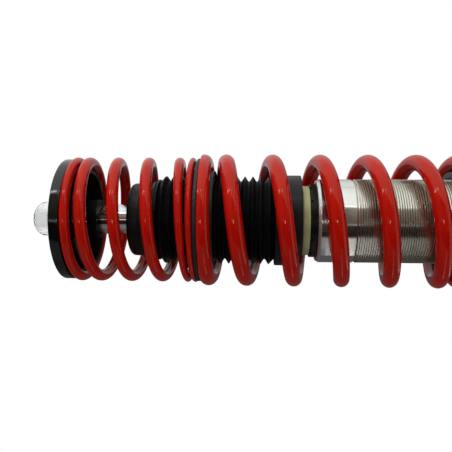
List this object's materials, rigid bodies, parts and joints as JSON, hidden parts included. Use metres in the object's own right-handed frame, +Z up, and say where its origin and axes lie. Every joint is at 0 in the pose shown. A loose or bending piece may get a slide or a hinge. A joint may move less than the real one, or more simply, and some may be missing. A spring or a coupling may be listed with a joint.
{
  "type": "coilover suspension strut",
  "caption": "Height-adjustable coilover strut: red main and helper coil springs round a threaded damper tube, with screw-on perch, dust boot and upper spring plate.",
  "frame": {"origin": "centre of the damper tube's flat lower face", "axes": "+Z up along the strut's axis, towards the threaded stud; the drop-link bracket points along -X and the brake-hose bracket along +Y"},
  "size_m": [0.1025, 0.1025, 0.4928],
  "materials": {
    "red_coat": "gloss powder coat",
    "tube_zinc": "bright zinc plate",
    "rod_chrome": "polished hard chrome",
    "black_coat": "gloss black",
    "divider_plastic": "satin black",
    "boot_rubber": "satin black rubber",
    "seal_rubber": "matte",
    "stop_foam": "matte foam",
    "cream_plastic": "satin",
    "clear_plastic": "clear soft plastic",
    "inner_steel": "turned steel"
  },
  "bodies": {
    "housing": {"strut_tube": "tube_zinc", "bottom_cap": "tube_zinc", "clamp_stop_ring": "tube_zinc", "link_bracket": "tube_zinc", "hose_bracket": "tube_zinc", "locating_tab": "tube_zinc", "gland_ring": "black_coat", "strike_ring": "cream_plastic", "dust_boot": "boot_rubber", "boot_collar": "boot_rubber", "foot_valve": "inner_steel", "foot_valve_shims": "inner_steel", "pressure_tube": "inner_steel", "rod_guide": "inner_steel", "guide_bush": "inner_steel", "rod_seal": "seal_rubber"},
    "upper_plate": {"upper_spring_plate": "black_coat"},
    "rod": {"piston_rod": "rod_chrome", "rebound_stop": "inner_steel", "piston": "inner_steel", "piston_band": "seal_rubber", "rebound_shims": "inner_steel", "compression_shims": "inner_steel", "piston_nut": "inner_steel"},
    "protector": {"thread_protector_cap": "clear_plastic"},
    "bump_cup": {"boot_cup": "boot_rubber", "bump_stop": "stop_foam"},
    "seat": {"lower_spring_perch": "black_coat", "main_spring": "red_coat", "thrust_washer": "inner_steel"},
    "rings": {"adjuster_collar": "black_coat", "lock_ring": "black_coat", "lock_screw": "inner_steel"},
    "divider": {"spring_divider": "divider_plastic", "helper_spring": "red_coat"}
  },
  "joints": [
    {"name": "damper_stroke", "type": "slide", "parent": "housing", "child": "upper_plate", "axis": [0, 0, 1], "range_m": [-0.07, 0], "stiffness_N_per_m": 15000, "springref_m": 0.004, "deforming": ["main_spring", "helper_spring", "dust_boot"]},
    {"name": "rod_turn", "type": "hinge", "parent": "upper_plate", "child": "rod", "pos_m": [0, 0, 0.458], "axis": [0, 0, 1], "continuous": true},
    {"name": "cap_pull", "type": "slide", "parent": "rod", "child": "protector", "axis": [0, 0, 1], "range_m": [0, 0.03]},
    {"name": "bump_cup_slide", "type": "slide", "parent": "housing", "child": "bump_cup", "axis": [0, 0, 1], "range_m": [-0.04936, 0]},
    {"name": "seat_height", "type": "slide", "parent": "housing", "child": "seat", "axis": [0, 0, 1], "range_m": [-0.024, 0]},
    {"name": "collar_turn", "type": "hinge", "parent": "seat", "child": "rings", "pos_m": [0, 0, 0.19], "axis": [0, 0, 1], "range_deg": [-5761, 0]},
    {"name": "divider_slide", "type": "slide", "parent": "seat", "child": "divider", "axis": [0, 0, 1], "range_m": [-0.03501, 0]}
  ],
  "couplings": [
    {"joint": "bump_cup_slide", "follows": "damper_stroke", "ratio": 0.705},
    {"joint": "divider_slide", "follows": "damper_stroke", "ratio": 0.5},
    {"joint": "collar_turn", "follows": "seat_height", "rad_per_m": 4188.8}
  ]
}
